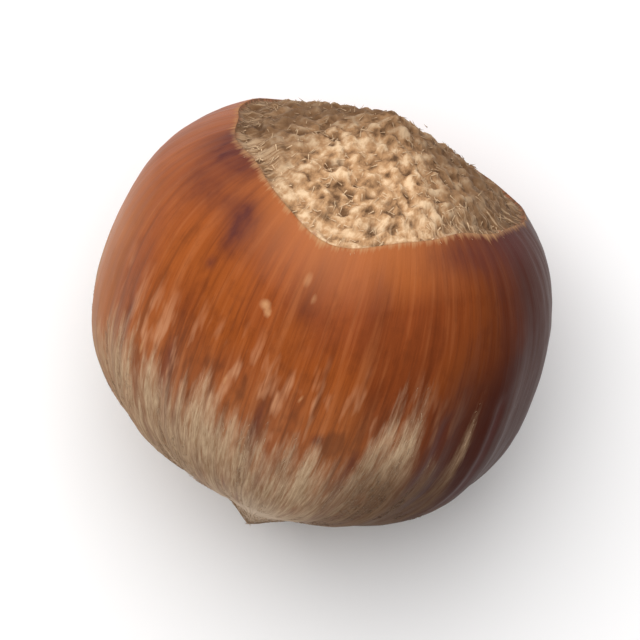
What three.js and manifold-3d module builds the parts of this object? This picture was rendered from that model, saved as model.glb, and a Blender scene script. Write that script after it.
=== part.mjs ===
// A hazelnut in its closed shell, lying on its side. Units are millimetres and +Z is up.
// The satin shell, the corky scar where it sat in its husk and the small beak at the other end
// grew as one piece, so the nut is one closed solid with one name.
// The nut's long axis runs in the XZ plane, with the scar raised towards +X and the beak low at -X.
// The origin is on the surface that the nut lies on, in the middle of its small flat rest spot.

import * as THREE from "three";
import * as BufferGeometryUtils from "three/addons/utils/BufferGeometryUtils.js";
import Module from "manifold-3d";

const { degToRad, smoothstep } = THREE.MathUtils;

// Body, measured from the middle of its widest section
const HALF_WIDTH = 9.75;
const FLATNESS = 0.933; // thickness over width
const SCAR_REACH = 8.6; // where the body would close over the scar
const SCAR_FULLNESS = 2.6; // superellipse power of the shoulders, where 2 is an ellipse
const TIP_REACH = 8.3;
const TIP_FULLNESS = 2.25;
const BEAK_LENGTH = 2.2; // the beak stands this far out of the tip
const BEAK_FOOT = 2.1; // radius over which the beak spreads into the body
const BEAK_LEAN = { share: 0.2, angle: 80 }; // the foot is wider by this share on one side
const BEAK_SHARPNESS = 1.25; // 1 is a needle point, 2 a round knob

// Scar: a low blunt cone inside a rim that dips on the upper side and on the under side.
// Latitudes are in degrees from the scar's middle, with 90 at the widest section, and angles
// are in degrees round the nut from its upper side.
const RIM_LATITUDE = 33.5;
const RIM_DIPS = [
  { depth: 13.8, angle: -9, spread: 27 },
  { depth: 11, angle: 128, spread: 32 },
  { depth: 15, angle: 188, spread: 55 },
];
const RIM_WAVE = 0.9; // unevenness along the rim
const SCAR_PEAK = 9.95;
const SCAR_GROOVE = 0.2; // depth of the narrow groove just inside the rim
const SCAR_PIT = 0.13; // height of the pitted, fibrous relief

// Each wave round the shell: how many there are, their height and where the first one lies in degrees
const LOBES = [
  { count: 2, height: 0.06, start: 20 },
  { count: 3, height: 0.12, start: 48 },
  { count: 5, height: 0.05, start: 10 },
];
const RIBS = [
  { count: 8, height: 0.06, start: 12 },
  { count: 13, height: 0.11, start: 5 },
  { count: 17, height: 0.08, start: 16 },
];

// How it lies: the tilt of the long axis, and the middle of the widest section above the rest spot
const REST_TILT = 24;
const MIDDLE_HEIGHT = 8.97;
const MIDDLE_AHEAD = -0.1;

// Facets of the solid, from the beak to the rim, from the rim to the scar's peak, and round the nut
const BODY_ROWS = 32;
const SCAR_ROWS = 18;
const ROUND_STEPS = 104;
const TIP_CROWDING = 1.35; // above 1, rows lie closer together at the beak

const SHELL_COLOUR = 0x8b4a26;

function waves(list, angle) {
  let height = 0;
  for (const wave of list) {
    height += wave.height * Math.cos(wave.count * (angle - degToRad(wave.start)));
  }
  return height;
}

// How far down the shell the scar's rim lies at this angle round the nut, in radians
function rimLatitude(angle) {
  let latitude = RIM_LATITUDE + RIM_WAVE * (Math.sin(5 * angle + 0.6) + 0.6 * Math.sin(11 * angle + 2.1));
  for (const dip of RIM_DIPS) {
    const turn = angle - degToRad(dip.angle);
    const away = Math.atan2(Math.sin(turn), Math.cos(turn));
    latitude += dip.depth * Math.exp(-((away / degToRad(dip.spread)) ** 2));
  }
  return degToRad(latitude);
}

// A point of the shell as its distance along the nut, towards the scar, and its radius
function shellPoint(latitude, angle) {
  const onScarHalf = latitude < Math.PI / 2;
  const power = 2 / (onScarHalf ? SCAR_FULLNESS : TIP_FULLNESS);
  const reach = onScarHalf ? SCAR_REACH : -TIP_REACH;
  const along = reach * Math.abs(Math.cos(latitude)) ** power;
  const smooth = HALF_WIDTH * Math.abs(Math.sin(latitude)) ** power;

  const girth = Math.sin(latitude);
  const ribs = smoothstep(latitude, degToRad(45), degToRad(125)) * waves(RIBS, angle);
  const radius = smooth + girth * (waves(LOBES, angle) + ribs);
  const foot = BEAK_FOOT * (1 + BEAK_LEAN.share * Math.cos(angle - degToRad(BEAK_LEAN.angle)));
  const beak = BEAK_LENGTH * Math.exp(-((smooth / foot) ** BEAK_SHARPNESS));
  return { along: along - beak, radius };
}

// A point of the scar, where spread is 0 at its peak and 1 at its rim
function scarPoint(spread, angle) {
  const rim = shellPoint(rimLatitude(angle), angle);
  const radius = rim.radius * spread;
  const across = radius * Math.sin(angle);
  const up = radius * Math.cos(angle);
  const pitRow = Math.sin(4.9 * across + 1.4 * Math.sin(2.1 * up));
  const pitColumn = Math.sin(5.3 * up + 1.2 * Math.sin(2.6 * across));
  const fibres = 0.7 * spread * Math.cos(19 * angle + 1.5 * Math.sin(3 * angle));
  const relief = SCAR_PIT * (pitRow * pitColumn + fibres) * smoothstep(1 - spread, 0, 0.12);
  const groove = SCAR_GROOVE * Math.exp(-(((1 - spread) / 0.09 - 1) ** 2));
  return { along: SCAR_PEAK + (rim.along - SCAR_PEAK) * spread + relief - groove, radius };
}

// Where the row and angle of the lathed grid lie on the finished nut
function surfacePoint(row, angle) {
  if (row <= BODY_ROWS) {
    const share = (row / BODY_ROWS) ** TIP_CROWDING;
    return shellPoint(Math.PI + (rimLatitude(angle) - Math.PI) * share, angle);
  }
  return scarPoint((BODY_ROWS + SCAR_ROWS - row) / SCAR_ROWS, angle);
}

// The whole nut, lathed about Y with its scar towards +Y and its upper side towards +Z
function nutGeometry() {
  const rows = BODY_ROWS + SCAR_ROWS;
  const profile = [];
  for (let row = 0; row <= rows; row += 1) {
    const point = surfacePoint(row, 0);
    profile.push(new THREE.Vector2(row === 0 || row === rows ? 0 : point.radius, point.along));
  }
  const geometry = new THREE.LatheGeometry(profile, ROUND_STEPS);
  const position = geometry.attributes.position;
  const uv = geometry.attributes.uv;
  for (let i = 0; i < position.count; i += 1) {
    const angle = 2 * Math.PI * (uv.getX(i) % 1);
    const row = Math.round(uv.getY(i) * rows);
    const point = surfacePoint(row, angle);
    const radius = row === 0 || row === rows ? 0 : point.radius;
    const along = row === rows ? SCAR_PEAK : point.along;
    position.setXYZ(i, radius * Math.sin(angle), along, FLATNESS * radius * Math.cos(angle));
  }
  return geometry;
}

// Laid down: +Y of the lathe becomes the raised +X end, and the upper side stays up
function layDown(geometry) {
  geometry.rotateZ(-Math.PI / 2);
  geometry.rotateY(-degToRad(REST_TILT));
  geometry.translate(MIDDLE_AHEAD, 0, MIDDLE_HEIGHT);
  return geometry;
}

function toSolid(wasm, geometry) {
  const bare = geometry.clone();
  bare.deleteAttribute("normal");
  bare.deleteAttribute("uv");
  const merged = BufferGeometryUtils.mergeVertices(bare, 1e-4);
  return new wasm.Manifold(
    new wasm.Mesh({
      numProp: 3,
      vertProperties: new Float32Array(merged.attributes.position.array),
      triVerts: new Uint32Array(merged.index.array),
    }),
  );
}

function toGeometry(solid) {
  const mesh = solid.getMesh();
  const geometry = new THREE.BufferGeometry();
  geometry.setAttribute("position", new THREE.BufferAttribute(new Float32Array(mesh.vertProperties), 3));
  geometry.setIndex(new THREE.BufferAttribute(new Uint32Array(mesh.triVerts), 1));
  geometry.computeVertexNormals();
  return geometry;
}

const wasm = await Module();
wasm.setup();

// Everything below the surface that it lies on is cut away, which leaves the flat rest spot
const groundSize = 4 * HALF_WIDTH;
const ground = new THREE.BoxGeometry(groundSize, groundSize, groundSize);
ground.translate(0, 0, -groundSize / 2);
const nut = toSolid(wasm, layDown(nutGeometry())).subtract(toSolid(wasm, ground));

const shellMaterial = new THREE.MeshStandardMaterial({ color: SHELL_COLOUR, roughness: 0.4, metalness: 0 });
const hazelnut = new THREE.Mesh(toGeometry(nut), shellMaterial);
hazelnut.name = "hazelnut";

const group = new THREE.Group();
group.add(hazelnut);

export default group;
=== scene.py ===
"""The looks of one hazelnut in its shell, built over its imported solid."""

import math
import random

import bmesh
import bpy
from bpy.props import FloatProperty, FloatVectorProperty, IntProperty, PointerProperty
from mathutils import Matrix, Vector, noise


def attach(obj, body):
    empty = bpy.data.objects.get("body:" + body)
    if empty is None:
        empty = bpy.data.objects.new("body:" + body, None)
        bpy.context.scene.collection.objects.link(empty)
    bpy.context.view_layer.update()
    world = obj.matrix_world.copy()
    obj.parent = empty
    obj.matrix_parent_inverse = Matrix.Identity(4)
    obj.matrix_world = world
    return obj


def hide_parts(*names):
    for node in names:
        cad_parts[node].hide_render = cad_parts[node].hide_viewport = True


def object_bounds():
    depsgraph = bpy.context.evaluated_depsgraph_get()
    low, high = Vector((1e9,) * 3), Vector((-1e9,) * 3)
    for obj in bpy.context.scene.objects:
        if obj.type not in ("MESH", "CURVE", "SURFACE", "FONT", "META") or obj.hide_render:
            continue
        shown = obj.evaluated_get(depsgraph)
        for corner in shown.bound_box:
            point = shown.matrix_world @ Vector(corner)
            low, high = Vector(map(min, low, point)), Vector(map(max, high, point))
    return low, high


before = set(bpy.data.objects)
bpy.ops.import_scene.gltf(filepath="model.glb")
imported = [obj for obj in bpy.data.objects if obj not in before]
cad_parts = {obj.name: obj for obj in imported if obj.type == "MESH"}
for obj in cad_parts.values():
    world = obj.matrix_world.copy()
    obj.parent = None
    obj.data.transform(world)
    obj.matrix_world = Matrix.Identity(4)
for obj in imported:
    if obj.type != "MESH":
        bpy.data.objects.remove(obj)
CAD_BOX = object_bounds()

bl_info = {
    "name": "Hazelnut",
    "version": (1, 0, 0),
    "blender": (4, 5, 0),
    "location": "View3D > Sidebar > Hazelnut",
    "description": "Models one hazelnut in its shell, with its scar, its down and a plain studio",
    "category": "Add Mesh",
}

MM = 0.001


def linear(hex_colour):
    """An sRGB hex colour as linear red, green and blue."""
    channels = [int(hex_colour[i : i + 2], 16) / 255 for i in (1, 3, 5)]
    return tuple(c / 12.92 if c <= 0.04045 else ((c + 0.055) / 1.055) ** 2.4 for c in channels)


def length(name, description, millimetres):
    """A size in the panel, whose default is given in millimetres."""
    return FloatProperty(name=name, description=description, default=millimetres * MM, unit="LENGTH")


def colour(name, description, hex_colour):
    """A colour in the panel, whose default is an sRGB hex value."""
    return FloatVectorProperty(
        name=name, description=description, default=linear(hex_colour), size=3, subtype="COLOR", min=0, max=1
    )


class HazelnutBody(bpy.types.PropertyGroup):
    """Sizes of the nut, measured from the middle of its widest section."""

    half_width: length("Half width", "Half of the nut's greatest width", 9.75)
    flatness: FloatProperty(name="Flatness", description="Thickness over width", default=0.933)
    scar_reach: length("Scar end", "Where the body would close over the scar", 8.6)
    scar_fullness: FloatProperty(name="Shoulder fullness", description="Superellipse power", default=2.6)
    tip_reach: length("Tip end", "Where the body ends under the beak", 8.3)
    tip_fullness: FloatProperty(name="Tip fullness", description="Superellipse power", default=2.25)
    beak_length: length("Beak length", "How far the beak stands out of the tip", 2.2)
    beak_foot: length("Beak foot", "Radius over which the beak spreads into the body", 2.1)
    beak_lean: FloatProperty(name="Beak lean", description="Extra foot width on one side", default=0.2)
    beak_lean_angle: FloatProperty(
        name="Lean angle", description="The foot's wider side", default=math.radians(80), unit="ROTATION"
    )
    beak_sharpness: FloatProperty(name="Beak sharpness", description="1 is a needle point", default=1.25)
    rim_latitude: FloatProperty(
        name="Rim", description="Scar's rim from its middle", default=math.radians(33.5), unit="ROTATION"
    )
    rim_wave: FloatProperty(
        name="Rim wave", description="Unevenness of the rim", default=math.radians(0.9), unit="ROTATION"
    )
    scar_peak: length("Scar peak", "Height of the scar's middle", 9.95)
    scar_groove: length("Scar groove", "Depth of the groove inside the rim", 0.2)
    scar_pit: length("Scar relief", "Height of the scar's coarse relief", 0.13)
    rest_tilt: FloatProperty(
        name="Rest tilt", description="Long axis above the table", default=math.radians(24), unit="ROTATION"
    )
    middle_height: length("Middle height", "Widest section above the rest spot", 8.97)
    middle_ahead: length("Middle ahead", "Widest section ahead of the rest spot", -0.1)


class HazelnutColours(bpy.types.PropertyGroup):
    """Colours of the shell, the scar and the down."""

    # Also the colour of painted shade towards the right side of the shell
    shell_dark_and_painted_shade: colour("Shell, dark", "Dark bands of the shell", "#5C2810")
    shell_mid: colour("Shell, middle", "Main colour of the shell", "#8A421C")
    # Also the colour of painted light on the left side and of a painted highlight under the scar
    shell_pale_and_painted_light: colour("Shell, light", "Light bands of the shell", "#AD663A")
    shell_orange: colour("Shell, orange", "Warmer patches of the shell", "#A0521D")
    # Painted shade: the side of the shell away from the light, painted dark
    shell_shade: colour("Shell, shaded side", "The side that ripened in the dark", "#3C1002")
    # Also the colour of painted shade along the scar's rim and in the grooves
    stain_and_shade: colour("Stain", "Purple-brown smudges by the scar's rim", "#542824")
    # Also the colour of painted light at the left limb and of small painted glints in the strokes
    worn_and_painted_light: colour("Worn strokes", "Short strokes where the down has rubbed off", "#C08762")
    # Also the colour of small painted glints
    fleck: colour("Fleck", "Pale nicks in the shell", "#CF9C6E")
    scar_light: colour("Scar, light", "Fibres of the scar", "#E2C29C")
    scar_mid: colour("Scar, middle", "Main colour of the scar", "#B58B62")
    # Also the colour of painted shade on the scar's low, far part and along its edge
    scar_dark_and_shade: colour("Scar, dark", "Pits of the scar", "#5F4126")
    # Partly the beak's paler down, partly painted light on the beak, which lies in shade
    down_pale_and_painted_light: colour("Down, pale", "Down on the beak", "#DEC8AE")
    down_light: colour("Down, light", "Tips of the down", "#C9AC8C")
    down_dark: colour("Down, dark", "Felt under the down", "#9A7B5C")
    # Painted shade: the colour of the down on the side away from the light
    down_painted_shade_colour: colour("Down, brown", "Down on the side away from the light", "#54351F")


class HazelnutStage(bpy.types.PropertyGroup):
    """The plain studio."""

    floor_colour: colour("Floor", "Plain pale floor", "#F0EFEF")
    frame_width: length("Frame width", "Width that the camera sees at the nut", 27.5)
    camera_lens: FloatProperty(name="Lens", description="Focal length in millimetres", default=400)
    axis_turn: FloatProperty(
        name="Axis turn", description="Scar end from image up", default=math.radians(19.7), unit="ROTATION"
    )
    key_power: FloatProperty(name="Key light", description="Its power", default=4.7, unit="POWER")
    sky: FloatProperty(name="Surround", description="Brightness at its brightest", default=0.48)


# Dips of the scar's rim towards the waist: depth, angle round the nut and spread, in degrees.
# Angles round the nut count from its upper side, and are positive on the side of -Y.
RIM_DIPS = ((13.8, -9, 27), (11, 128, 32), (15, 188, 55))

# Waves round the shell: how many, height in millimetres, and where the first one lies in degrees
LOBES = ((2, 0.06, 20), (3, 0.12, 48), (5, 0.05, 10))
RIBS = ((8, 0.06, 12), (13, 0.11, 5), (17, 0.08, 16))

# Tongues of down that run up the shell: angle in degrees, reach in millimetres and width in degrees.
# A negative reach is a stretch where the down stays back.
DOWN_EDGE = -3.2
DOWN_TONGUES = (
    (-86, 4.0, 11),
    (-52, 1.7, 10),
    (-24, 1.0, 8),
    (8, 0.2, 5),
    (26, 3.3, 3.5),
    (32, 4.1, 3.5),
    (50, 5.0, 1.8),
    (66, -2.2, 16),
    (101, 0.8, 8),
    (119, 1.9, 5),
    (158, 1.8, 6),
    (180, -1.5, 75),
    (-165, 1.1, 7),
    (-127, 2.0, 6),
    (-106, 1.0, 8),
)

# Grooves of the shell's lower half: angle in degrees, upper end in millimetres and width in degrees
GROOVES = ((-7, -0.4, 1.2), (-36, 0.2, 1.3), (-52, 0.8, 1.3), (20, -1.2, 1.1), (41, 1.0, 1.5), (58, 1.8, 1.4))

# Dark smudges on the shell, partly purple-brown stains and partly painted shade along the scar's rim, as in
# the rows at -66 and 72 degrees:
# angle in degrees, distance along the nut in millimetres, spreads of both and strength
STAINS = (
    (-62, 7.5, 16, 0.4, 1.0),
    (-66, 6.9, 14, 0.7, 0.6),
    (-52, 7.1, 12, 0.4, 0.8),
    (-52, 5.9, 11, 0.9, 0.75),
    (-36, 6.0, 6, 0.6, 0.85),
    (-32, 5.2, 4.5, 0.8, 0.9),
    (-34, 3.7, 1.6, 0.25, 0.8),
    (9, -1.5, 1.4, 0.25, 0.8),
    (41, 6.9, 16, 0.6, 0.7),
    (72, 7.1, 18, 0.8, 0.8),
    (-118, 5.8, 20, 1.2, 0.6),
    (150, 4.6, 24, 0.9, 0.6),
)

# Pale nicks on the shell, and small pale flecks that paint glints of light, in the same way
FLECKS = (
    (-15, 3.3, 1.5, 0.24, 1.0),
    (-13.5, 3.0, 0.8, 0.2, 1.0),
    (-7, 4.9, 1.4, 0.4, 0.6),
    (-3.5, 4.3, 0.9, 0.3, 0.6),
    (-44, -1.3, 0.5, 0.4, 0.8),
    (-35, -1.7, 0.45, 0.35, 0.8),
    (-18, -0.5, 0.5, 0.3, 0.8),
    (2, 0.1, 0.5, 0.22, 0.8),
)

# Values stored on the nut's mesh for its materials, beside the place along and round the nut
NUT_LAYERS = ("rim_gap", "down", "painted_down_shade", "stain_and_shade", "fleck", "pit", "cork")

# Facets of the nut's mesh, round it, from the beak to the rim and from the rim to the scar's peak
NUT_STEPS_ROUND = 384
SHELL_ROWS = 172
SCAR_ROWS = 84
TIP_CROWDING = 1.15  # above 1, rows lie closer together at the beak
SCAR_SLOPE = 0.7  # length from the scar's peak to its rim, over the half width
SHELL_SLOT = 0
SCAR_SLOT = 1
ON_RIM = 1e-6

# Heights and depths of the fine relief, in millimetres
SWELL_HEIGHT = 0.05
DIMPLE_HEIGHT = 0.012
UNDULATION_HEIGHT = 0.055
RIDGE_HEIGHT = 0.045
THREAD_HEIGHT = 0.014
GROOVE_DEPTH = 0.08
NICK_DEPTH = 0.03
LIP_HEIGHT = 0.03
LIP_WIDTH = 0.35
CORK_HEIGHT = 0.085
PIT_DEPTH = 0.15
FRINGE_HEIGHT = 0.045

# The down sets in this far above its edge and is full this far below it, in millimetres
DOWN_STARTS = 2.4
DOWN_FULL = 2.2
# Painted shade in the grooves: how dark a groove is painted, beside a full smudge
GROOVE_PAINTED_SHADE = 0.65  # how dark a groove is, beside a full smudge

# Hairs of the down: lengths in millimetres, rise over length, and turn to either side in radians
HAIR_THICKNESS = 0.011 * MM
HAIR_LENGTHS = (0.15, 0.48)
HAIR_LIFTS = (0.05, 0.4)
HAIR_TURN = 0.45
# The dark end of the hairs' tone is the down's painted-shade colour
HAIR_TONES = (0.45, 1.0)  # from the brown of the down at 0 to its lightest colour at 1
BEAK_SHARE = 0.12  # share of the hairs that are sown close round the beak
BEAK_SPREAD = 0.4  # how far from the nut's end they grow, in radians
SOWN_COSINES = (-0.99, 0.35)  # cosines of the latitudes between which the others are sown

# Torn fibres of the scar, in the same way
FIBRE_THICKNESS = 0.03 * MM
FIBRE_LENGTHS = (0.2, 0.5)
FIBRE_LIFTS = (0.0, 0.3)
FIBRE_TONES = (0.2, 0.4)
# The fibres are painted darker on the scar's low part, following its shade and darker brown
HIGH_FIBRE_TONE = 0.45  # what the tone gains on the upper part of the scar
FIBRE_PLACES = (0.002, 0.98)  # squares of the spreads between which they are sown
FIBRE_TURN = 0.5  # spread of the turn at the rim, in radians
LOOSER_TURN = 3  # what it gains towards the peak

# Both kinds: depth of the root, where a hair bends, how far it droops, and its lowest places
ROOT_DEPTH = 0.02 * MM
BEND_PLACE = 0.55
DROOP = 0.75
HAIR_FLOOR = 0.02 * MM
LOWEST_ROOT = 0.5 * MM
GOLDEN_SEED = 1618

# The studio: leans of the lights towards the top and the left of the picture, against 1 overhead
FLOOR_SIZE = 2.0
KEY_LEAN_UP = 0.42
KEY_LEAN_LEFT = 0.12
SOFTBOX_DISTANCE = 0.6
SOFTBOX_SIZE = 0.6
SKY_LEAN_UP = 0.4
SKY_LEAN_LEFT = 0.3
SKY_DIMMEST = 0.3  # the surround's far side, over its brightest side


def ease(low, high, value):
    """0 below low, 1 above high and smooth between; low may be the greater of the two."""
    share = min(1.0, max(0.0, (value - low) / (high - low)))
    return share * share * (3 - 2 * share)


def bell(angle, centre_degrees, spread_degrees):
    """A smooth hump round a direction, 1 at its middle."""
    turn = angle - math.radians(centre_degrees)
    away = math.atan2(math.sin(turn), math.cos(turn))
    return math.exp(-((away / math.radians(spread_degrees)) ** 2))


def waves(rows, angle):
    """The summed height of waves round the shell, in metres."""
    return MM * sum(height * math.cos(count * (angle - math.radians(start))) for count, height, start in rows)


class NutForm:
    """The surface of the nut as formulas, from the sizes in the panel."""

    def __init__(self, body):
        self.size = {name: getattr(body, name) for name in HazelnutBody.__annotations__}
        self.cos_tilt = math.cos(body.rest_tilt)
        self.sin_tilt = math.sin(body.rest_tilt)

    def rim_latitude(self, angle):
        """How far down the shell the scar's rim lies at this angle."""
        unevenness = math.sin(5 * angle + 0.6) + 0.6 * math.sin(11 * angle + 2.1)
        dips = sum(depth * bell(angle, centre, spread) for depth, centre, spread in RIM_DIPS)
        return self.size["rim_latitude"] + self.size["rim_wave"] * unevenness + math.radians(dips)

    def shell_point(self, latitude, angle):
        """Distance along the nut, towards the scar, and radius of a point of the shell."""
        size = self.size
        on_scar_half = latitude < math.pi / 2
        power = 2 / (size["scar_fullness"] if on_scar_half else size["tip_fullness"])
        reach = size["scar_reach"] if on_scar_half else -size["tip_reach"]
        girth = abs(math.sin(latitude))
        along = reach * abs(math.cos(latitude)) ** power
        smooth = size["half_width"] * girth**power
        ribs = ease(math.radians(45), math.radians(125), latitude) * waves(RIBS, angle)
        foot = size["beak_foot"] * (1 + size["beak_lean"] * math.cos(angle - size["beak_lean_angle"]))
        beak = size["beak_length"] * math.exp(-((smooth / foot) ** size["beak_sharpness"]))
        return along - beak, smooth + girth * (waves(LOBES, angle) + ribs)

    def scar_point(self, spread, angle):
        """The same for a point of the scar, where spread is 0 at its peak and 1 at its rim."""
        size = self.size
        rim_along, rim_radius = self.shell_point(self.rim_latitude(angle), angle)
        radius = rim_radius * spread
        across = radius * math.sin(angle) / MM
        up = radius * math.cos(angle) / MM
        pit_row = math.sin(4.9 * across + 1.4 * math.sin(2.1 * up))
        pit_column = math.sin(5.3 * up + 1.2 * math.sin(2.6 * across))
        fibres = 0.7 * spread * math.cos(19 * angle + 1.5 * math.sin(3 * angle))
        relief = size["scar_pit"] * (pit_row * pit_column + fibres) * ease(0, 0.12, 1 - spread)
        groove = size["scar_groove"] * math.exp(-(((1 - spread) / 0.09 - 1) ** 2))
        return size["scar_peak"] + (rim_along - size["scar_peak"]) * spread + relief - groove, radius

    def place(self, along, radius, angle):
        """A point given along and round the nut, in the frame of the lying nut."""
        up = self.size["flatness"] * radius * math.cos(angle)
        return Vector(
            (
                along * self.cos_tilt - up * self.sin_tilt + self.size["middle_ahead"],
                -radius * math.sin(angle),
                along * self.sin_tilt + up * self.cos_tilt + self.size["middle_height"],
            )
        )

    def shell(self, latitude, angle):
        return self.place(*self.shell_point(latitude, angle), angle)

    def scar(self, spread, angle):
        return self.place(*self.scar_point(spread, angle), angle)


def streak(angle, along, round_scale, along_scale, seed):
    """Noise drawn out along the shell's meridians, from about -1 to 1."""
    across = round_scale * math.cos(angle)
    up = round_scale * math.sin(angle)
    return noise.noise(Vector((across, up, along / MM * along_scale + seed)))


def down_cover(along, angle):
    """How thickly the down covers the shell here, from 0 to 1."""
    place = along / MM
    edge = DOWN_EDGE + sum(reach * bell(angle, centre, width) for centre, reach, width in DOWN_TONGUES)
    broad = streak(angle, 0, round_scale=9, along_scale=0, seed=3.1)
    ragged = streak(angle, 0, round_scale=24, along_scale=0, seed=8.4)
    edge += 0.8 * broad + 0.6 * ragged
    edge += 1.3 * streak(angle, along, round_scale=40, along_scale=0.2, seed=1.7)
    cover = ease(edge + DOWN_STARTS, edge - DOWN_FULL, place) * (1 - 0.35 * ease(-3, 1, place))
    tufts = streak(angle, along, round_scale=22, along_scale=0.3, seed=5.7)
    locks = streak(angle, along, round_scale=40, along_scale=0.8, seed=2.2)
    thin = 0.6 * tufts + 0.5 * locks
    return max(0.0, min(1.0, cover * (0.95 + 0.75 * thin)))


def down_painted_shade(along, angle):
    """How much painted shade darkens the down here, on the side away from the light, from 0 to 1."""
    place = along / MM
    on_that_side = ease(0.15, 0.6, math.sin(angle))
    return 0.7 * on_that_side * ease(-0.5, -3.5, place) * ease(-8.8, -6.8, place)


def patches(rows, along, angle):
    """The strength of a list of soft patches here, from 0 to 1."""
    total = sum(
        strength * bell(angle, centre, spread) * math.exp(-(((along / MM - middle) / size) ** 2))
        for centre, middle, spread, size, strength in rows
    )
    return min(1.0, total)


def in_groove(along, angle):
    """How deep in a groove of the lower half this is, from 0 to 1."""
    place = along / MM
    return sum(
        bell(angle, centre, width) * ease(upper, upper - 1.0, place) * ease(-6.5, -5.0, place)
        for centre, upper, width in GROOVES
    )


def shell_relief(along, angle, co, rim_gap):
    """Fine relief of the shell, in metres out of its surface."""
    place = along / MM
    drawn_out = streak(angle, along, round_scale=5, along_scale=0.05, seed=1.3)
    ridges = 1 - 2 * abs(streak(angle, along, round_scale=15, along_scale=0.05, seed=4.6))
    threads = streak(angle, along, round_scale=44, along_scale=0.1, seed=7.9)
    swell = noise.noise(co / MM * 0.3)
    dimples = noise.noise(co / MM * 1.6)
    lip = math.exp(-((rim_gap / LIP_WIDTH) ** 2))
    toward_tip = (0.3 + 0.7 * ease(3, -4, place)) * ease(-9.4, -7.2, place)
    lengthwise = UNDULATION_HEIGHT * drawn_out + RIDGE_HEIGHT * ridges + THREAD_HEIGHT * threads
    height = SWELL_HEIGHT * swell + DIMPLE_HEIGHT * dimples + toward_tip * lengthwise
    height -= GROOVE_DEPTH * in_groove(along, angle) + NICK_DEPTH * patches(FLECKS, along, angle)
    return MM * (height * (1 - 0.6 * lip) + LIP_HEIGHT * lip)


def wander(point):
    """Three noises that don't follow each other, one along each axis, from about -1 to 1."""
    return Vector([noise.noise(point + Vector((11.3, 4.7, 2.9)) * step) for step in (1, 2, 3)])


def scar_pit(co):
    """How deep a pit of the scar is here, from 0 to 1."""
    point = co / MM
    bent = point + 0.35 * wander(point * 1.1)
    cells, _ = noise.voronoi(bent * 1.05)
    deep = ease(0.34, 0.1, cells[0])
    return deep * ease(-0.1, 0.25, noise.noise(point * 0.55 + Vector((3, 1, 2))))


def cork_lumps(co):
    """The scar's crumbly cork, from about -1 to 1."""
    return noise.fractal(co / MM * 2.2, 0.9, 2.1, 5)


def scar_relief(spread, angle, co):
    """Fine corky relief of the scar, in metres out of its surface."""
    fringe = streak(angle, 0, round_scale=34, along_scale=0, seed=6.2) * ease(0.5, 0.95, spread)
    fade = ease(1.0, 0.95, spread)
    height = CORK_HEIGHT * cork_lumps(co) - PIT_DEPTH * scar_pit(co) + FRINGE_HEIGHT * fringe
    return MM * fade * height


def object_from(bm, name, materials):
    """A finished bmesh as an object of the scene, with its place in its mesh."""
    mesh = bpy.data.meshes.new(name)
    bm.to_mesh(mesh)
    bm.free()
    for material in materials:
        mesh.materials.append(material)
    piece = bpy.data.objects.new(name, mesh)
    bpy.context.collection.objects.link(piece)
    return piece


def turn_outward(bm):
    """Turns every face outwards, going by where the vertices lie now."""
    bm.normal_update()
    bmesh.ops.recalc_face_normals(bm, faces=bm.faces[:])
    bm.normal_update()


def require_solid(bm, name):
    """Raises if the mesh has an open or crowded edge, or is inside out."""
    loose = [edge for edge in bm.edges if len(edge.link_faces) != 2]
    if loose:
        raise RuntimeError(f"{name} has {len(loose)} edges that aren't shared by two faces")
    if bm.calc_volume(signed=True) <= 0:
        raise RuntimeError(f"{name} is inside out")


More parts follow.
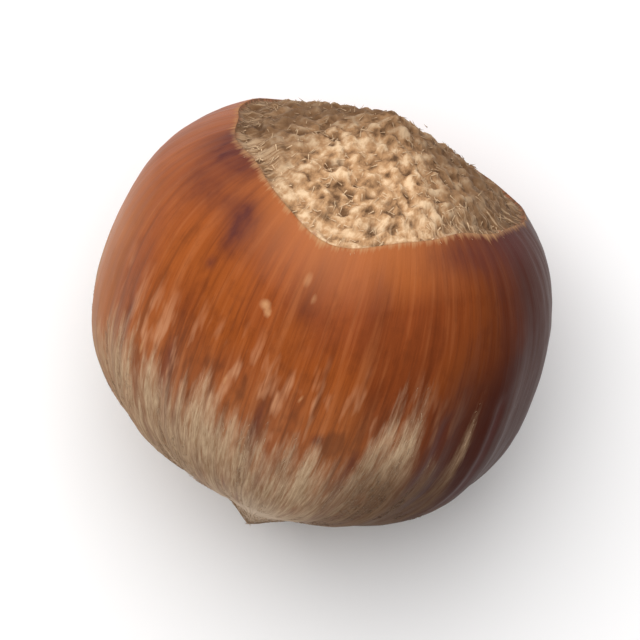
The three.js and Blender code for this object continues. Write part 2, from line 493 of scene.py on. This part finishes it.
def model_nut(form):
    """The whole nut: a sphere's grid moved onto the nut's surface, then cut flat where it rests."""
    rows = SHELL_ROWS + SCAR_ROWS
    width = form.size["half_width"]
    bm = bmesh.new()
    bmesh.ops.create_uvsphere(bm, u_segments=NUT_STEPS_ROUND, v_segments=rows, radius=1)
    grain = bm.verts.layers.float_vector.new("grain")
    rim_gap, down, down_shade_layer, stain_and_shade, fleck, pit, cork = (bm.verts.layers.float.new(name) for name in NUT_LAYERS)
    spots = {}
    for vert in bm.verts:
        row = rows * (1 - math.acos(max(-1.0, min(1.0, vert.co.z))) / math.pi)
        angle = math.atan2(vert.co.x, vert.co.y)
        if row <= SHELL_ROWS + 0.5:
            share = (min(row, SHELL_ROWS) / SHELL_ROWS) ** TIP_CROWDING
            rim = form.rim_latitude(angle)
            latitude = math.pi + (rim - math.pi) * share
            along, radius = form.shell_point(latitude, angle)
            spread = None
            vert[rim_gap] = (latitude - rim) * width / MM
        else:
            spread = max(0.0, (rows - row) / SCAR_ROWS)
            along, radius = form.scar_point(spread, angle)
            vert[rim_gap] = (spread - 1) * width * SCAR_SLOPE / MM
        vert.co = form.place(along, radius if 0.5 < row < rows - 0.5 else 0.0, angle)
        vert[grain] = (width * math.cos(angle) / MM, width * math.sin(angle) / MM, along / MM)
        spots[vert] = (spread, along, angle)
    turn_outward(bm)
    for vert, (spread, along, angle) in spots.items():
        if spread is None:
            vert[down] = down_cover(along, angle)
            vert[down_shade_layer] = down_painted_shade(along, angle)
            # Smudges, with painted shade added in the grooves
            vert[stain_and_shade] = min(1.0, patches(STAINS, along, angle) + GROOVE_PAINTED_SHADE * in_groove(along, angle))
            vert[fleck] = patches(FLECKS, along, angle)
            vert.co += vert.normal * shell_relief(along, angle, vert.co, vert[rim_gap])
        else:
            vert[pit] = scar_pit(vert.co)
            vert[cork] = 0.5 + 0.5 * cork_lumps(vert.co)
            vert.co += vert.normal * scar_relief(spread, angle, vert.co)
    for face in bm.faces:
        face.smooth = True
        on_scar = all(vert[rim_gap] <= ON_RIM for vert in face.verts)
        face.material_index = SCAR_SLOT if on_scar else SHELL_SLOT
    everything = bm.verts[:] + bm.edges[:] + bm.faces[:]
    cut = bmesh.ops.bisect_plane(
        bm, geom=everything, plane_co=(0, 0, 0), plane_no=(0, 0, 1), clear_inner=True
    )
    rim_edges = [item for item in cut["geom_cut"] if isinstance(item, bmesh.types.BMEdge)]
    bmesh.ops.holes_fill(bm, edges=rim_edges, sides=0)
    require_solid(bm, "nutshell")
    return bm


def model_slivers(doublings, thickness):
    """Closed three-sided hairs along +Z, one unit long, all in one place."""
    bm = bmesh.new()
    bmesh.ops.create_cone(
        bm,
        cap_ends=True,
        segments=3,
        radius1=thickness,
        radius2=0,
        depth=1,
        matrix=Matrix.Translation((0, 0, 0.5)),
    )
    everything = bm.verts[:] + bm.edges[:] + bm.faces[:]
    bmesh.ops.bisect_plane(bm, geom=everything, plane_co=(0, 0, BEND_PLACE), plane_no=(0, 0, 1))
    number = bm.verts.layers.int.new("number")
    for step in range(doublings):
        made = bmesh.ops.duplicate(bm, geom=bm.verts[:] + bm.edges[:] + bm.faces[:])["geom"]
        for item in made:
            if isinstance(item, bmesh.types.BMVert):
                item[number] += 2**step
    return bm


def strand(root, forward, outward, turn, reach, lift, tone):
    """One hair: its sunk root, its turned way, the surface's normal, its length, rise and tone."""
    way = forward * math.cos(turn) + outward.cross(forward) * math.sin(turn)
    return root - outward * ROOT_DEPTH, way, outward, reach, lift, tone


def add_strands(name, thickness, strands, material):
    """A piece of the scene made of a power of two of strands."""
    bm = model_slivers(round(math.log2(len(strands))), thickness)
    number = bm.verts.layers.int["number"]
    tone_layer = bm.verts.layers.float.new("tone")
    for vert in bm.verts:
        root, forward, outward, reach, lift, tone = strands[vert[number]]
        height = vert.co.z
        rise = lift * reach * (height - DROOP * height * height)
        middle = root + forward * (reach * height) + outward * rise
        vert.co = middle + forward.cross(outward) * vert.co.x + outward * vert.co.y
        vert.co.z = max(vert.co.z, HAIR_FLOOR)
        vert[tone_layer] = tone
    turn_outward(bm)
    require_solid(bm, name)
    piece = object_from(bm, name, [material])
    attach(piece, "root")


def surface_frame(point_at, first, second, step=0.002):
    """Position, direction of growing first value and outward normal of a surface formula."""
    here = point_at(first, second)
    forward = (point_at(first + step, second) - here).normalized()
    sideways = (point_at(first, second + step) - here).normalized()
    return here, forward, sideways.cross(forward).normalized()


def shell_root(form, latitude, angle):
    """Where a hair grows on the shell with its relief: place, way to the beak, normal."""
    root, forward, outward = surface_frame(form.shell, latitude, angle)
    along, _ = form.shell_point(latitude, angle)
    gap = (latitude - form.rim_latitude(angle)) * form.size["half_width"] / MM
    return root + outward * shell_relief(along, angle, root, gap), forward, outward


def scar_root(form, spread, angle):
    """Where a fibre lies on the scar with its relief: place, way to the rim, normal."""
    root, forward, outward = surface_frame(form.scar, spread, angle)
    return root + outward * scar_relief(spread, angle, root), forward, outward


def add_node(tree, kind, inputs=None, **settings):
    """A node with its settings, whose inputs are values or sockets to link from."""
    node = tree.nodes.new(kind)
    for name, value in settings.items():
        setattr(node, name, value)
    for name, value in (inputs or {}).items():
        if isinstance(value, bpy.types.NodeSocket):
            tree.links.new(value, node.inputs[name])
        else:
            node.inputs[name].default_value = value
    return node


def start_material(name):
    """An empty node material with its shader, and the shader's surface linked."""
    material = bpy.data.materials.new(name)
    material.use_nodes = True
    tree = material.node_tree
    tree.nodes.clear()
    shader = add_node(tree, "ShaderNodeBsdfPrincipled")
    add_node(tree, "ShaderNodeOutputMaterial", {"Surface": shader.outputs["BSDF"]})
    return material, tree, shader


def blend(tree, factor, first, second):
    """The colour between two colours."""
    return add_node(
        tree, "ShaderNodeMix", {0: factor, 6: first, 7: second}, data_type="RGBA", clamp_factor=True
    ).outputs[2]


def rgba(value):
    """A colour of the panel with full opacity."""
    return (*value, 1.0)


def layered(tree, base, layers):
    """A base colour with layers over it in turn, each given as the share that it covers and its colour."""
    for share, tint in layers:
        base = blend(tree, share, base, rgba(tint))
    return base


def spread_out(tree, value, low, high, to_low=0.0, to_high=1.0):
    """A value stretched from one range to another and clamped."""
    return add_node(
        tree,
        "ShaderNodeMapRange",
        {"Value": value, "From Min": low, "From Max": high, "To Min": to_low, "To Max": to_high},
    ).outputs["Result"]


def sum_of(tree, first, second, operation="ADD"):
    """Two values added, or joined by another operation."""
    return add_node(tree, "ShaderNodeMath", {0: first, 1: second}, operation=operation).outputs[0]


def grain_noise(tree, grain, scale, along, detail=2.0, roughness=0.5, shift=0.0):
    """Noise drawn out along the meridians: scale in features per millimetre round the nut."""
    stretched = add_node(
        tree,
        "ShaderNodeMapping",
        {"Vector": grain, "Scale": (1, 1, along), "Location": (shift, shift, shift)},
    )
    return add_node(
        tree,
        "ShaderNodeTexNoise",
        {"Vector": stretched.outputs[0], "Scale": scale, "Detail": detail, "Roughness": roughness},
    ).outputs["Fac"]


def attribute(tree, name, output="Fac"):
    """A value that is stored on the mesh."""
    return add_node(tree, "ShaderNodeAttribute", attribute_name=name).outputs[output]


def times(tree, first, second):
    """Two values multiplied."""
    return sum_of(tree, first, second, "MULTIPLY")


def shell_material(colours):
    """Waxy lignified nut shell, polished by its husk: satin, with drawn-out bands of chestnut brown."""
    material, tree, shader = start_material("nutshell_satin")
    grain = attribute(tree, "grain", "Vector")
    places = add_node(tree, "ShaderNodeSeparateXYZ", {"Vector": grain}).outputs
    upward, sideways, along = places["X"], places["Y"], places["Z"]
    rim_gap = attribute(tree, "rim_gap")
    down = attribute(tree, "down")
    toward_tip = spread_out(tree, along, 3.5, -3.5)
    strong = spread_out(tree, toward_tip, 0, 1, to_low=0.5)

    bands = grain_noise(tree, grain, 0.5, 0.1, detail=3)
    streaks = grain_noise(tree, grain, 2.2, 0.06, detail=3, roughness=0.6, shift=7)
    threads = grain_noise(tree, grain, 7.5, 0.05, detail=3, roughness=0.65, shift=13)
    clouds = grain_noise(tree, grain, 0.22, 0.8, detail=2, shift=21)
    mottle = grain_noise(tree, grain, 1.6, 0.7, detail=4, roughness=0.6, shift=17)
    strokes = grain_noise(tree, grain, 1.7, 0.27, detail=2, shift=43)
    felt_grain = grain_noise(tree, grain, 9, 0.12, detail=4, roughness=0.7, shift=31)

    # Bands, streaks and threads of the bare shell
    banded = spread_out(tree, bands, 0.3, 0.5, to_low=0.5)
    orange_cloud = spread_out(tree, clouds, 0.45, 0.62, to_high=0.6)
    light_streak = times(tree, spread_out(tree, streaks, 0.52, 0.7, to_high=0.75), strong)
    dark_streak = times(tree, spread_out(tree, streaks, 0.48, 0.32, to_high=0.9), strong)
    dark_thread = times(tree, spread_out(tree, threads, 0.47, 0.32, to_high=0.55), strong)
    light_thread = times(tree, spread_out(tree, threads, 0.58, 0.76, to_high=0.4), strong)
    dark_mottle = spread_out(tree, mottle, 0.5, 0.3, to_high=0.3)

    # Short strokes towards the tip, where the down has rubbed off; the pale ones also paint small glints of
    # light
    rubbed = times(tree, spread_out(tree, along, 2.5, 0), spread_out(tree, threads, 0.35, 0.55, to_low=0.5))
    pale_stroke_and_glint = times(tree, spread_out(tree, strokes, 0.55, 0.68, to_high=0.8), rubbed)
    dark_stroke = times(tree, spread_out(tree, strokes, 0.44, 0.33, to_high=0.6), rubbed)
    bloom = spread_out(tree, along, 1.5, -4.5, to_high=0.28)

    # Painted light on the left side and brighter at its limb, a painted highlight under the scar, and painted
    # shade on the right side
    # Painted light: lighter towards the left side of the nut
    lit_side = spread_out(tree, sideways, -5.5, -9.7, to_high=0.35)
    at_limb = spread_out(tree, sideways, -8.4, -9.7, to_high=0.6)
    # Painted light: lighter still at the left limb, away from the scar
    painted_limb_light = times(tree, at_limb, spread_out(tree, along, 5, 2))
    near_rim = spread_out(tree, rim_gap, 4.0, 0.4, to_high=0.7)
    # Painted highlight: lighter near the rim on the upper side, under the scar
    painted_highlight = times(tree, near_rim, spread_out(tree, upward, 5, 9))
    # Painted shade: darker towards the right side, more so towards the tip
    painted_shade_ramp = times(tree, spread_out(tree, sideways, 2.0, 7.5, to_high=0.6), spread_out(tree, along, 5, -1))
    drift = sum_of(tree, times(tree, clouds, 3), times(tree, toward_tip, 2))
    # Painted shade: the right side painted dark brown, cloudy, and reaching further in towards the tip
    shade = spread_out(tree, sum_of(tree, sideways, drift), 7.0, 10.4, to_high=0.94)

    # Smudges, partly stains and partly painted shade along the rim and in grooves, pale nicks and painted
    # glints, and the scar's ragged fringe
    # Partly stains, partly painted shade along the rim and in the grooves
    stain_and_rim_shade = times(tree, attribute(tree, "stain_and_shade"), spread_out(tree, mottle, 0.3, 0.6, 1.0, 0.7))
    # A pale nick, and small painted glints
    nick_and_glint = spread_out(tree, attribute(tree, "fleck"), 0.25, 1.0, to_high=0.75)
    ragged = sum_of(tree, times(tree, threads, 0.8), streaks)
    fringe = spread_out(tree, sum_of(tree, rim_gap, ragged, "SUBTRACT"), -0.6, -1.1, to_high=0.85)

    # The felt that mats the shell under the down
    matted = sum_of(tree, down, times(tree, felt_grain, 0.8))
    matted = sum_of(tree, matted, times(tree, strokes, 0.7))
    felt = times(tree, spread_out(tree, matted, 0.8, 1.75, to_high=0.95), spread_out(tree, down, 0, 0.2))
    felt = times(tree, felt, spread_out(tree, streaks, 0.35, 0.5, to_low=0.75))
    # Thinner felt on the side away from the light, so that the painted shade shows through
    felt = times(tree, felt, spread_out(tree, sideways, 5.2, 8.2, 1, 0.65))
    felt_colour = layered(
        tree,
        rgba(colours.down_dark),
        (
            (spread_out(tree, felt_grain, 0.35, 0.65), colours.down_light),
            # Paler towards the beak, partly its own colour and partly painted light
            (spread_out(tree, along, -5.6, -8.2, to_high=0.85), colours.down_pale_and_painted_light),
            # Painted shade on the down on the side away from the light
            (attribute(tree, "painted_down_shade"), colours.down_painted_shade_colour),
        ),
    )

    shell_layers = (
        (banded, colours.shell_mid),
        (orange_cloud, colours.shell_orange),
        (light_streak, colours.shell_pale_and_painted_light),
        (dark_streak, colours.shell_dark_and_painted_shade),
        (dark_thread, colours.shell_dark_and_painted_shade),
        (light_thread, colours.shell_pale_and_painted_light),
        (dark_mottle, colours.shell_dark_and_painted_shade),
        (pale_stroke_and_glint, colours.worn_and_painted_light),
        (dark_stroke, colours.shell_dark_and_painted_shade),
        (bloom, colours.down_dark),
        (lit_side, colours.shell_pale_and_painted_light),
        (painted_limb_light, colours.worn_and_painted_light),
        (painted_highlight, colours.shell_pale_and_painted_light),
        (painted_shade_ramp, colours.shell_dark_and_painted_shade),
        (shade, colours.shell_shade),
        (stain_and_rim_shade, colours.stain_and_shade),
        (nick_and_glint, colours.fleck),
        (fringe, colours.scar_mid),
    )
    bare = layered(tree, rgba(colours.shell_dark_and_painted_shade), shell_layers)
    base = blend(tree, felt, bare, felt_colour)

    height = sum_of(tree, times(tree, streaks, 0.6), times(tree, threads, 0.5))
    height = sum_of(tree, height, times(tree, felt, felt_grain))
    height = times(tree, height, spread_out(tree, along, -5.6, -7.6, 1, 0.25))
    bump = add_node(tree, "ShaderNodeBump", {"Height": height, "Strength": 0.4, "Distance": 0.05 * MM})
    rough = spread_out(tree, streaks, 0.3, 0.7, 0.38, 0.5)
    rough = sum_of(tree, rough, times(tree, sum_of(tree, felt, fringe), 0.5))

    tree.links.new(base, shader.inputs["Base Color"])
    tree.links.new(rough, shader.inputs["Roughness"])
    tree.links.new(bump.outputs["Normal"], shader.inputs["Normal"])
    shader.inputs["IOR"].default_value = 1.5
    shader.inputs["Specular IOR Level"].default_value = 0.09
    return material


def scar_material(colours):
    """Corky torn tissue where the nut sat in its husk: dry, matt, pitted and fibrous."""
    material, tree, shader = start_material("scar_cork")
    grain = attribute(tree, "grain", "Vector")
    rim_gap = attribute(tree, "rim_gap")
    place = add_node(tree, "ShaderNodeTexCoord").outputs["Object"]
    height_above = add_node(tree, "ShaderNodeSeparateXYZ", {"Vector": place}).outputs["Z"]

    def cork_noise(scale_per_mm, detail, roughness):
        return add_node(
            tree,
            "ShaderNodeTexNoise",
            {"Vector": place, "Scale": scale_per_mm / MM, "Detail": detail, "Roughness": roughness},
        ).outputs["Fac"]

    clouds = cork_noise(0.4, 3, 0.6)
    mottle = cork_noise(1.7, 5, 0.7)
    crumb = cork_noise(5, 4, 0.7)
    fibres = grain_noise(tree, grain, 4.5, 0.3, detail=3, roughness=0.6, shift=3)
    raised = sum_of(tree, times(tree, attribute(tree, "cork"), 0.75), times(tree, crumb, 0.5))

    # Darker brown on the low and far parts, partly the scar's own colour and partly painted shade, with a
    # darker edge except at the top, also partly painted shade
    shade_and_weathering = spread_out(tree, height_above, 15.0 * MM, 12.6 * MM, to_high=0.9)
    shade_and_weathering = times(tree, shade_and_weathering, spread_out(tree, height_above, 8.5 * MM, 11.5 * MM, to_low=0.3))
    shade_and_weathering = times(tree, shade_and_weathering, spread_out(tree, clouds, 0.3, 0.55, to_low=0.4))
    upward = add_node(tree, "ShaderNodeSeparateXYZ", {"Vector": grain}).outputs["X"]
    # Darker edge, partly the scar's own colour and partly painted shade
    away_from_top = spread_out(tree, upward, 9.0, 6.2, to_high=0.75)
    dark_edge_and_shade = times(tree, spread_out(tree, rim_gap, -4.2, -0.6), away_from_top)

    # Pale fibres and a skin of shell along the rim
    pale_fibre = spread_out(tree, fibres, 0.5, 0.62, to_high=0.35)
    rim_fibre = times(tree, spread_out(tree, rim_gap, -2.2, -0.6), pale_fibre)
    skin = spread_out(tree, sum_of(tree, rim_gap, times(tree, fibres, 1.4)), 0.5, 0.9, to_high=0.8)

    scar_layers = (
        (spread_out(tree, raised, 0.34, 0.6), colours.scar_mid),
        (spread_out(tree, raised, 0.62, 0.84, to_high=0.95), colours.scar_light),
        (shade_and_weathering, colours.scar_dark_and_shade),
        (dark_edge_and_shade, colours.scar_dark_and_shade),
        (rim_fibre, colours.scar_light),
        (times(tree, attribute(tree, "pit"), 0.95), colours.scar_dark_and_shade),
        (skin, colours.shell_mid),
    )
    base = layered(tree, rgba(colours.scar_dark_and_shade), scar_layers)

    height = sum_of(tree, mottle, times(tree, crumb, 0.6))
    bump = add_node(tree, "ShaderNodeBump", {"Height": height, "Strength": 0.8, "Distance": 0.12 * MM})
    tree.links.new(base, shader.inputs["Base Color"])
    tree.links.new(bump.outputs["Normal"], shader.inputs["Normal"])
    shader.inputs["Roughness"].default_value = 0.92
    shader.inputs["IOR"].default_value = 1.45
    return material


def strand_material(name, dark, light):
    """Dry plant fibres, matt, from a darker tone to a lighter one."""
    material, tree, shader = start_material(name)
    base = blend(tree, attribute(tree, "tone"), rgba(dark), rgba(light))
    tree.links.new(base, shader.inputs["Base Color"])
    shader.inputs["Roughness"].default_value = 0.8
    shader.inputs["Specular IOR Level"].default_value = 0.3
    return material


class HAZELNUT_OT_nut(bpy.types.Operator):
    """Model the shell with its scar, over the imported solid"""

    bl_idname = "hazelnut.nut"
    bl_label = "Add Nut"

    def execute(self, context):
        form = NutForm(context.scene.hazelnut_body)
        colours = context.scene.hazelnut_colours
        nut = object_from(model_nut(form), "nutshell", [shell_material(colours), scar_material(colours)])
        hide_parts("hazelnut")
        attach(nut, "root")
        return {"FINISHED"}


class HAZELNUT_OT_down(bpy.types.Operator):
    """Cover the beak and the tip with short felted hairs"""

    bl_idname = "hazelnut.down"
    bl_label = "Add Down"

    doublings: IntProperty(name="Doublings", description="The hairs number two to this power", default=14)

    def execute(self, context):
        form = NutForm(context.scene.hazelnut_body)
        colours = context.scene.hazelnut_colours
        draw = random.Random(GOLDEN_SEED)
        hairs = []
        while len(hairs) < 2**self.doublings:
            angle = draw.uniform(-math.pi, math.pi)
            if draw.random() < BEAK_SHARE:
                latitude = math.pi - BEAK_SPREAD * draw.random()
            else:
                latitude = math.acos(draw.uniform(*SOWN_COSINES))
            along, _ = form.shell_point(latitude, angle)
            if draw.random() > down_cover(along, angle) ** 2:
                continue
            root, forward, outward = shell_root(form, latitude, angle)
            if root.z < LOWEST_ROOT:
                continue
            shorter_at_end = 0.6 + 0.4 * ease(0, 0.3, math.pi - latitude)
            reach = draw.uniform(*HAIR_LENGTHS) * MM * shorter_at_end
            lift = draw.uniform(*HAIR_LIFTS)
            turn = draw.uniform(-HAIR_TURN, HAIR_TURN)
            # Painted shade: hairs darker on the side away from the light
            tone = draw.uniform(*HAIR_TONES) * (1 - down_painted_shade(along, angle))
            hairs.append(strand(root, forward, outward, turn, reach, lift, tone))
        material = strand_material("plant_down", colours.down_painted_shade_colour, colours.down_light)
        add_strands("tip_down", HAIR_THICKNESS, hairs, material)
        return {"FINISHED"}


class HAZELNUT_OT_fibres(bpy.types.Operator):
    """Lay torn fibres over the scar"""

    bl_idname = "hazelnut.fibres"
    bl_label = "Add Scar Fibres"

    doublings: IntProperty(name="Doublings", description="The fibres number two to this power", default=10)

    def execute(self, context):
        form = NutForm(context.scene.hazelnut_body)
        colours = context.scene.hazelnut_colours
        draw = random.Random(GOLDEN_SEED + 1)
        fibres = []
        while len(fibres) < 2**self.doublings:
            angle = draw.uniform(-math.pi, math.pi)
            spread = math.sqrt(draw.uniform(*FIBRE_PLACES))
            root, forward, outward = scar_root(form, spread, angle)
            if root.z < LOWEST_ROOT:
                continue
            turn = draw.gauss(0, FIBRE_TURN + LOOSER_TURN * (1 - spread))
            reach = draw.uniform(*FIBRE_LENGTHS) * MM
            # Lighter on the upper part of the scar, darker with the painted shade of its low part
            tone = draw.uniform(*FIBRE_TONES) + HIGH_FIBRE_TONE * ease(12.6 * MM, 15.5 * MM, root.z)
            lift = draw.uniform(*FIBRE_LIFTS)
            fibres.append(strand(root, forward, outward, turn, reach, lift, tone))
        material = strand_material("scar_fibre", colours.scar_dark_and_shade, colours.scar_light)
        add_strands("scar_fibres", FIBRE_THICKNESS, fibres, material)
        return {"FINISHED"}


class HAZELNUT_OT_stage(bpy.types.Operator):
    """Set the plain pale floor, the soft lights and the camera above the nut"""

    bl_idname = "hazelnut.stage"
    bl_label = "Set Stage"

    def execute(self, context):
        scene = context.scene
        stage = scene.hazelnut_stage
        bm = bmesh.new()
        bmesh.ops.create_grid(bm, x_segments=2, y_segments=2, size=FLOOR_SIZE / 2)
        material, tree, shader = start_material("matt_paper")
        shader.inputs["Base Color"].default_value = rgba(stage.floor_colour)
        shader.inputs["Roughness"].default_value = 0.9
        floor = object_from(bm, "floor", [material])

        low, high = CAD_BOX
        centre = (Vector(low) + Vector(high)) / 2
        turn = stage.axis_turn
        image_up = Vector((math.cos(turn), math.sin(turn), 0))
        image_right = Vector((math.sin(turn), -math.cos(turn), 0))
        overhead = Vector((0, 0, 1))
        key_way = (image_up * KEY_LEAN_UP - image_right * KEY_LEAN_LEFT + overhead).normalized()
        add_area_light("key_softbox", centre, key_way, SOFTBOX_DISTANCE, SOFTBOX_SIZE, stage.key_power)
        bright_way = (overhead + image_up * SKY_LEAN_UP - image_right * SKY_LEAN_LEFT).normalized()
        scene.world = surround(stage.sky, bright_way)
        scene.view_settings.view_transform = "Standard"

        lens = bpy.data.cameras.new("camera")
        lens.lens = stage.camera_lens
        camera = bpy.data.objects.new("camera", lens)
        distance = stage.camera_lens / lens.sensor_width * stage.frame_width
        camera.location = centre + overhead * distance
        camera.rotation_euler = (0, 0, turn - math.pi / 2)
        context.collection.objects.link(camera)
        scene.camera = camera
        return {"FINISHED"}


def surround(brightness, bright_way):
    """A white surround, brightest the given way and dim on the far side."""
    world = bpy.data.worlds.new("soft_surround")
    world.use_nodes = True
    tree = world.node_tree
    tree.nodes.clear()
    way = add_node(tree, "ShaderNodeTexCoord").outputs["Generated"]
    facing = add_node(tree, "ShaderNodeVectorMath", {0: way, 1: bright_way}, operation="DOT_PRODUCT")
    dimmest = SKY_DIMMEST * brightness
    strength = spread_out(tree, facing.outputs["Value"], -0.3, 0.9, dimmest, brightness)
    light = add_node(tree, "ShaderNodeBackground", {"Color": (1, 1, 1, 1), "Strength": strength})
    add_node(tree, "ShaderNodeOutputWorld", {"Surface": light.outputs["Background"]})
    return world


def add_area_light(name, target, way, distance, size, power):
    """A square soft light that looks at the target from the given way."""
    data = bpy.data.lights.new(name, "AREA")
    data.shape = "SQUARE"
    data.size = size
    data.energy = power
    light = bpy.data.objects.new(name, data)
    light.location = target + way * distance
    light.rotation_euler = way.to_track_quat("Z", "Y").to_euler()
    bpy.context.collection.objects.link(light)


class HAZELNUT_PT_panel(bpy.types.Panel):
    """The nut's sizes, colours and steps in the sidebar"""

    bl_label = "Hazelnut"
    bl_idname = "HAZELNUT_PT_panel"
    bl_space_type = "VIEW_3D"
    bl_region_type = "UI"
    bl_category = "Hazelnut"

    def draw(self, context):
        layout = self.layout
        for group_name, group_type in GROUPS.items():
            column = layout.column(align=True)
            for name in group_type.__annotations__:
                column.prop(getattr(context.scene, group_name), name)
        for operator in OPERATORS:
            layout.operator(operator.bl_idname)


GROUPS = {
    "hazelnut_body": HazelnutBody,
    "hazelnut_colours": HazelnutColours,
    "hazelnut_stage": HazelnutStage,
}
OPERATORS = (HAZELNUT_OT_stage, HAZELNUT_OT_nut, HAZELNUT_OT_down, HAZELNUT_OT_fibres)


def register():
    for group in GROUPS.values():
        bpy.utils.register_class(group)
    for name, group in GROUPS.items():
        setattr(bpy.types.Scene, name, PointerProperty(type=group))
    for operator in OPERATORS:
        bpy.utils.register_class(operator)
    bpy.utils.register_class(HAZELNUT_PT_panel)


def unregister():
    bpy.utils.unregister_class(HAZELNUT_PT_panel)
    for operator in reversed(OPERATORS):
        bpy.utils.unregister_class(operator)
    for name in GROUPS:
        delattr(bpy.types.Scene, name)
    for group in reversed(GROUPS.values()):
        bpy.utils.unregister_class(group)


def main():
    register()
    bpy.ops.hazelnut.stage()
    bpy.ops.hazelnut.nut()
    bpy.ops.hazelnut.down()
    bpy.ops.hazelnut.fibres()


if __name__ == "__main__":
    main()
